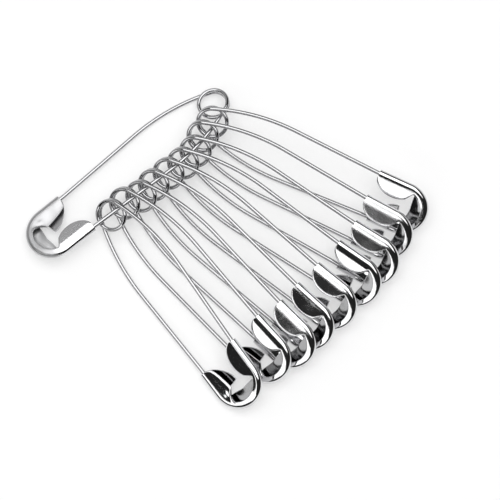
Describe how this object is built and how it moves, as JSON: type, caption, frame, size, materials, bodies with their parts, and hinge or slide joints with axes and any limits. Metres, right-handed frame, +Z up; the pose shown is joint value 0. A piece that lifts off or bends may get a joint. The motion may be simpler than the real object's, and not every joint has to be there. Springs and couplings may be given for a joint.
{
  "type": "safety pins",
  "caption": "Bunch of bent-wire safety pins with coil springs and pressed guards, threaded by their coils on the needle of a carrier pin.",
  "frame": {"origin": "bottom centre of the bunch's box", "axes": "+Z up from the table, +X along the carrier pin from its guard to its coil, and the hung pins point towards -Y"},
  "size_m": [0.0726, 0.0634, 0.0082],
  "materials": {
    "wire": "bright nickel plate over steel wire",
    "guard": "bright nickel plate over pressed steel sheet"
  },
  "bodies": {
    "carrier_frame": {"carrier_fixed_arm": "wire", "carrier_coil": "wire", "carrier_guard": "guard"},
    "carrier_needle": {"carrier_needle": "wire"},
    "pin1_frame": {"pin1_fixed_arm": "wire", "pin1_coil": "wire", "pin1_guard": "guard"},
    "pin1_needle": {"pin1_needle": "wire"},
    "pin2_frame": {"pin2_fixed_arm": "wire", "pin2_coil": "wire", "pin2_guard": "guard"},
    "pin2_needle": {"pin2_needle": "wire"},
    "pin3_frame": {"pin3_fixed_arm": "wire", "pin3_coil": "wire", "pin3_guard": "guard"},
    "pin3_needle": {"pin3_needle": "wire"},
    "pin4_frame": {"pin4_fixed_arm": "wire", "pin4_coil": "wire", "pin4_guard": "guard"},
    "pin4_needle": {"pin4_needle": "wire"},
    "pin5_frame": {"pin5_fixed_arm": "wire", "pin5_coil": "wire", "pin5_guard": "guard"},
    "pin5_needle": {"pin5_needle": "wire"},
    "pin6_frame": {"pin6_fixed_arm": "wire", "pin6_coil": "wire", "pin6_guard": "guard"},
    "pin6_needle": {"pin6_needle": "wire"},
    "pin7_frame": {"pin7_fixed_arm": "wire", "pin7_coil": "wire", "pin7_guard": "guard"},
    "pin7_needle": {"pin7_needle": "wire"},
    "pin8_frame": {"pin8_fixed_arm": "wire", "pin8_coil": "wire", "pin8_guard": "guard"},
    "pin8_needle": {"pin8_needle": "wire"},
    "pin9_frame": {"pin9_fixed_arm": "wire", "pin9_coil": "wire", "pin9_guard": "guard"},
    "pin9_needle": {"pin9_needle": "wire"}
  },
  "joints": [
    {"name": "carrier_open", "type": "hinge", "parent": "carrier_frame", "child": "carrier_needle", "pos_m": [0.0146, 0.02534, 0.0022], "axis": [0.0169, 0.2419, 0.9701], "range_deg": [0, 30], "deforming": ["carrier_coil"]},
    {"name": "pin1_swing", "type": "hinge", "parent": "carrier_needle", "child": "pin1_frame", "pos_m": [-0.01834, 0.02018, 0.00421], "axis": [-0.9989, 0.0448, -0.0108], "range_deg": [0, 15]},
    {"name": "pin1_open", "type": "hinge", "parent": "pin1_frame", "child": "pin1_needle", "pos_m": [-0.01836, 0.01988, 0.00431], "axis": [-0.5298, 0.015, 0.848], "range_deg": [0, 30], "deforming": ["pin1_coil"]},
    {"name": "pin2_swing", "type": "hinge", "parent": "carrier_needle", "child": "pin2_frame", "pos_m": [-0.01449, 0.02001, 0.00425], "axis": [-0.9989, 0.0448, -0.0108], "range_deg": [0, 15]},
    {"name": "pin2_open", "type": "hinge", "parent": "pin2_frame", "child": "pin2_needle", "pos_m": [-0.0145, 0.02007, 0.00431], "axis": [-0.5288, -0.0359, 0.848], "range_deg": [0, 30], "deforming": ["pin2_coil"]},
    {"name": "pin3_swing", "type": "hinge", "parent": "carrier_needle", "child": "pin3_frame", "pos_m": [-0.01084, 0.01985, 0.00429], "axis": [-0.9989, 0.0448, -0.0108], "range_deg": [0, 15]},
    {"name": "pin3_open", "type": "hinge", "parent": "pin3_frame", "child": "pin3_needle", "pos_m": [-0.01075, 0.019, 0.00431], "axis": [-0.5263, -0.0626, 0.848], "range_deg": [0, 30], "deforming": ["pin3_coil"]},
    {"name": "pin4_swing", "type": "hinge", "parent": "carrier_needle", "child": "pin4_frame", "pos_m": [-0.00716, 0.01968, 0.00433], "axis": [-0.9989, 0.0448, -0.0108], "range_deg": [0, 15]},
    {"name": "pin4_open", "type": "hinge", "parent": "pin4_frame", "child": "pin4_needle", "pos_m": [-0.00709, 0.0192, 0.00431], "axis": [-0.5234, -0.0836, 0.848], "range_deg": [0, 30], "deforming": ["pin4_coil"]},
    {"name": "pin5_swing", "type": "hinge", "parent": "carrier_needle", "child": "pin5_frame", "pos_m": [-0.00309, 0.0195, 0.00437], "axis": [-0.9989, 0.0448, -0.0108], "range_deg": [0, 15]},
    {"name": "pin5_open", "type": "hinge", "parent": "pin5_frame", "child": "pin5_needle", "pos_m": [-0.00302, 0.01911, 0.00431], "axis": [-0.5179, -0.1127, 0.848], "range_deg": [0, 30], "deforming": ["pin5_coil"]},
    {"name": "pin6_swing", "type": "hinge", "parent": "carrier_needle", "child": "pin6_frame", "pos_m": [0.00071, 0.01947, 0.00438], "axis": [-0.9994, -0.0349, 0.0091], "range_deg": [0, 15]},
    {"name": "pin6_open", "type": "hinge", "parent": "pin6_frame", "child": "pin6_needle", "pos_m": [0.00088, 0.01885, 0.00431], "axis": [-0.5077, -0.1521, 0.848], "range_deg": [0, 30], "deforming": ["pin6_coil"]},
    {"name": "pin7_swing", "type": "hinge", "parent": "carrier_needle", "child": "pin7_frame", "pos_m": [0.00445, 0.01976, 0.00431], "axis": [-0.9927, -0.1171, 0.0295], "range_deg": [0, 15]},
    {"name": "pin7_open", "type": "hinge", "parent": "pin7_frame", "child": "pin7_needle", "pos_m": [0.00463, 0.0192, 0.00431], "axis": [-0.4997, -0.1768, 0.848], "range_deg": [0, 30], "deforming": ["pin7_coil"]},
    {"name": "pin8_swing", "type": "hinge", "parent": "carrier_needle", "child": "pin8_frame", "pos_m": [0.00817, 0.02036, 0.00416], "axis": [-0.9787, -0.1989, 0.0499], "range_deg": [0, 15]},
    {"name": "pin8_open", "type": "hinge", "parent": "pin8_frame", "child": "pin8_needle", "pos_m": [0.00799, 0.0208, 0.00431], "axis": [-0.4876, -0.2078, 0.848], "range_deg": [0, 30], "deforming": ["pin8_coil"]},
    {"name": "pin9_swing", "type": "hinge", "parent": "carrier_needle", "child": "pin9_frame", "pos_m": [0.01185, 0.02126, 0.00393], "axis": [-0.9575, -0.2797, 0.0701], "range_deg": [0, 15]},
    {"name": "pin9_open", "type": "hinge", "parent": "pin9_frame", "child": "pin9_needle", "pos_m": [0.01157, 0.02184, 0.00431], "axis": [-0.4732, -0.2388, 0.848], "range_deg": [0, 30], "deforming": ["pin9_coil"]}
  ],
  "couplings": [
    {"joint": "pin2_swing", "follows": "pin1_swing", "ratio": 1},
    {"joint": "pin3_swing", "follows": "pin1_swing", "ratio": 1},
    {"joint": "pin4_swing", "follows": "pin1_swing", "ratio": 1},
    {"joint": "pin5_swing", "follows": "pin1_swing", "ratio": 1},
    {"joint": "pin6_swing", "follows": "pin1_swing", "ratio": 1},
    {"joint": "pin7_swing", "follows": "pin1_swing", "ratio": 1},
    {"joint": "pin8_swing", "follows": "pin1_swing", "ratio": 1},
    {"joint": "pin9_swing", "follows": "pin1_swing", "ratio": 1}
  ]
}
